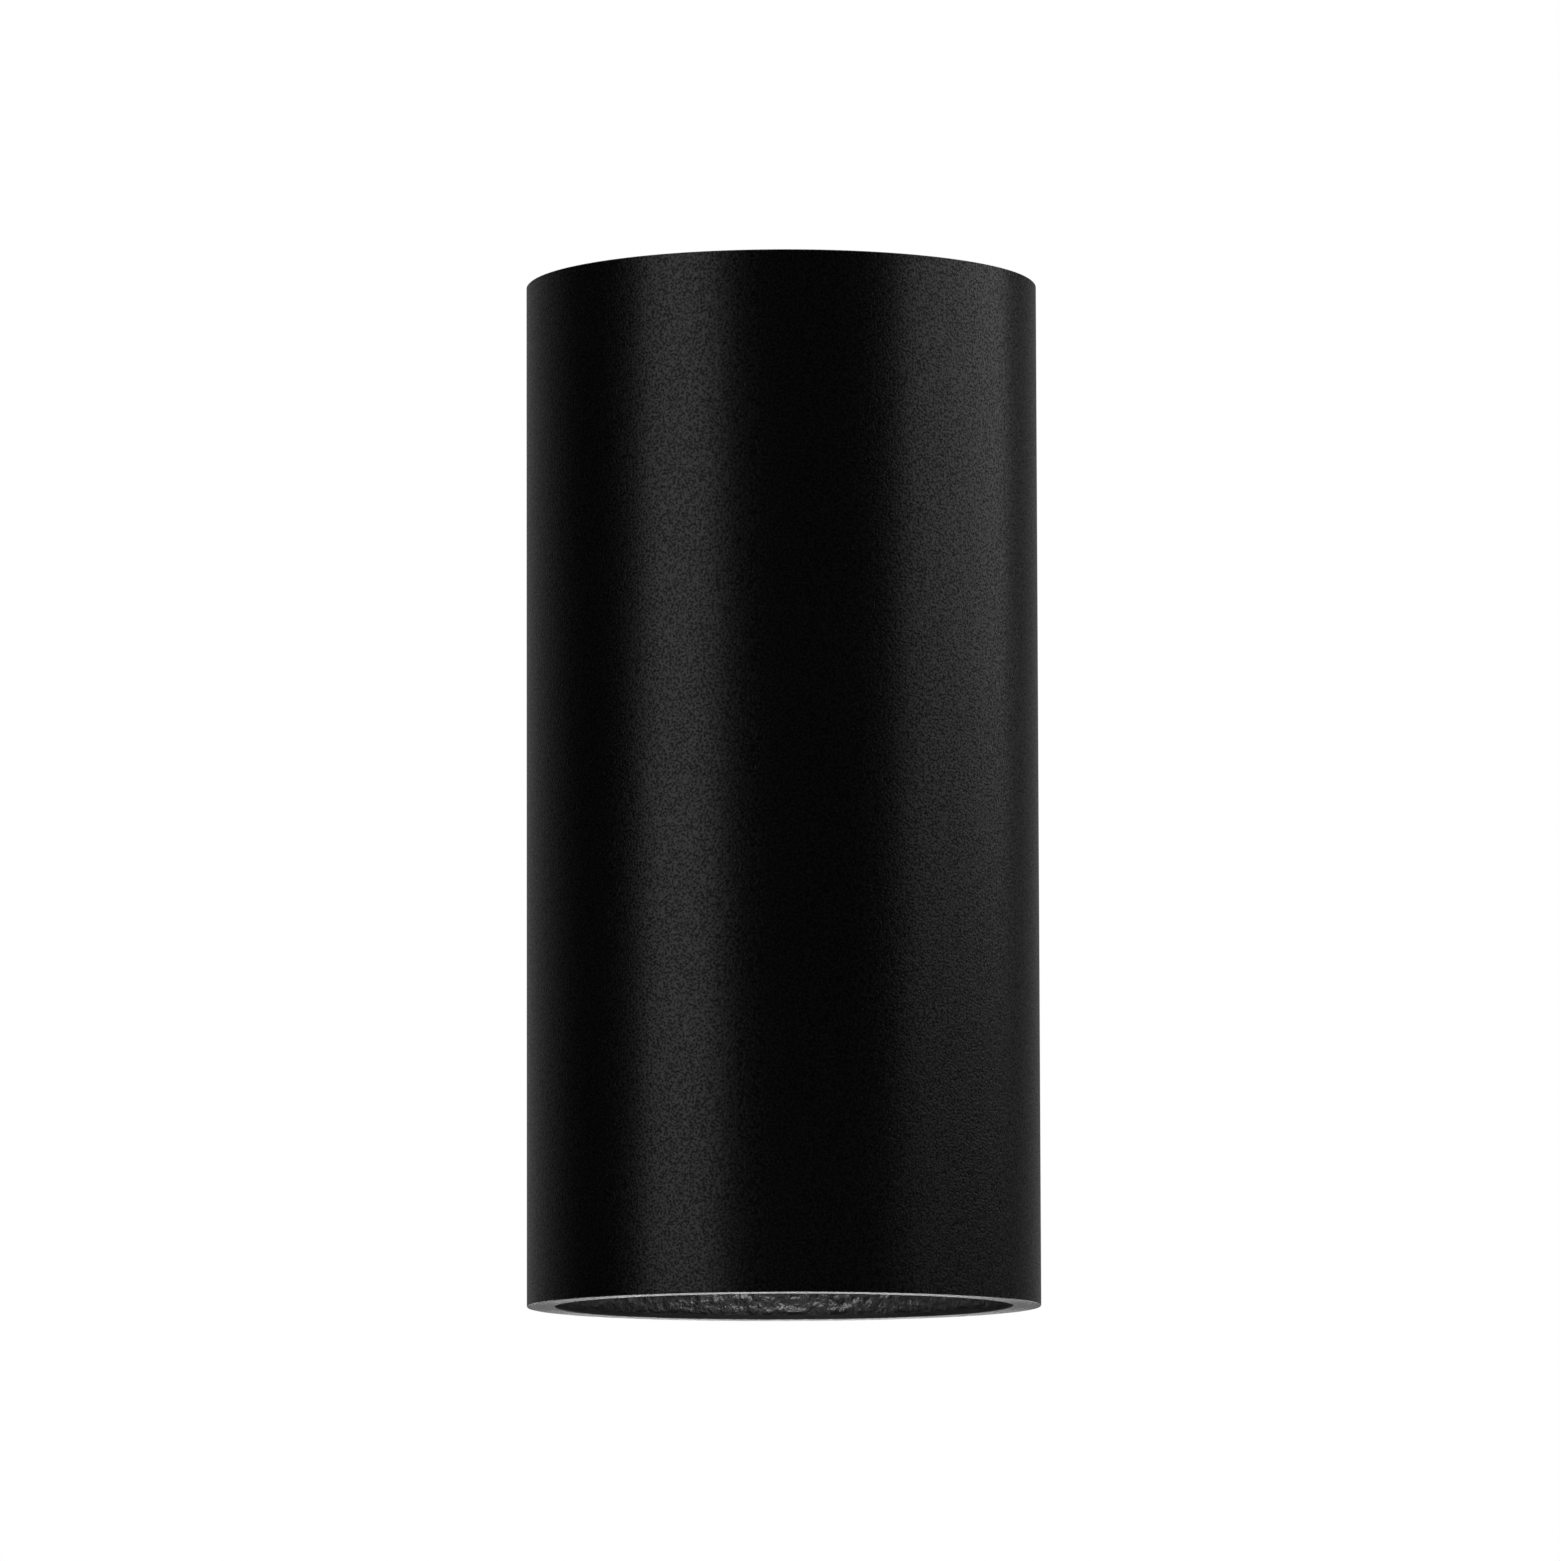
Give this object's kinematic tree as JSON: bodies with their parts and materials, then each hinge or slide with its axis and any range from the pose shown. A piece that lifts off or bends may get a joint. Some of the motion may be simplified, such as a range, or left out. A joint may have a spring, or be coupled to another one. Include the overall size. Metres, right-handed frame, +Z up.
{
  "type": "tube wall light",
  "caption": "Upright black tube wall light, open at both ends, with a recessed twist-lock lamp behind a stepped glare ring in each mouth, on a slim box.",
  "frame": {"origin": "on the wall plane, midway between the two wall screws", "axes": "+Z up along the tube, +Y into the wall, +X to the right as seen from the room"},
  "size_m": [0.1, 0.128, 0.2],
  "materials": {
    "black_coat": "fine-textured matt black powder coat on extruded aluminium",
    "machined_rim": "satin, as cut on a lathe",
    "box_coat": "matt black powder coat on cast aluminium",
    "zinc_steel": "bright zinc plate",
    "screw_steel": "zinc plate",
    "black_screw": "black oxide",
    "cast_aluminium": "as cast",
    "holder_ceramic": "unglazed, off-white",
    "contact_brass": "plain",
    "spring_steel": "plain stainless",
    "lamp_white": "white, semi-gloss",
    "lamp_lens": "frosted",
    "pin_steel": "nickel plate",
    "ring_black": "matt black",
    "lead_brown": "silicone, brown",
    "lead_blue": "silicone, blue",
    "terminal_white": "off-white"
  },
  "bodies": {
    "housing": {"tube_housing": "black_coat", "back_box": "box_coat", "wall_bracket": "zinc_steel", "fixing_screws": "black_screw", "threaded_nipple": "zinc_steel", "box_nut": "zinc_steel", "bracket_nut": "zinc_steel", "saddle_block": "cast_aluminium", "lamp_bracket": "zinc_steel", "terminal_block": "terminal_white", "terminal_bars": "contact_brass", "terminal_springs": "spring_steel", "block_screw": "screw_steel", "earth_clamp": "zinc_steel", "earth_screw": "screw_steel", "lower_live_lead": "lead_brown", "upper_live_lead": "lead_brown", "lower_neutral_lead": "lead_blue", "upper_neutral_lead": "lead_blue", "lower_lampholder": "holder_ceramic", "lower_holder_contacts": "contact_brass", "lower_holder_screws": "screw_steel", "upper_lampholder": "holder_ceramic", "upper_holder_contacts": "contact_brass", "upper_holder_screws": "screw_steel"},
    "lower_lamp": {"lower_lamp_body": "lamp_white", "lower_lamp_lens": "lamp_lens", "lower_lamp_pins": "pin_steel"},
    "lower_ring": {"lower_glare_ring": "ring_black", "lower_ring_clips": "spring_steel"},
    "upper_lamp": {"upper_lamp_body": "lamp_white", "upper_lamp_lens": "lamp_lens", "upper_lamp_pins": "pin_steel"},
    "upper_ring": {"upper_glare_ring": "ring_black", "upper_ring_clips": "spring_steel"}
  },
  "joints": [
    {"name": "lower_lamp_twist", "type": "hinge", "parent": "housing", "child": "lower_lamp", "pos_m": [0, -0.078, -0.0293], "axis": [0, 0, -1], "range_deg": [0, 30]},
    {"name": "lower_ring_pull", "type": "slide", "parent": "housing", "child": "lower_ring", "axis": [0, 0, -1], "range_m": [0, 0.034]},
    {"name": "upper_lamp_twist", "type": "hinge", "parent": "housing", "child": "upper_lamp", "pos_m": [0, -0.078, 0.0293], "axis": [0, 0, 1], "range_deg": [0, 30]},
    {"name": "upper_ring_pull", "type": "slide", "parent": "housing", "child": "upper_ring", "axis": [0, 0, 1], "range_m": [0, 0.034]}
  ]
}
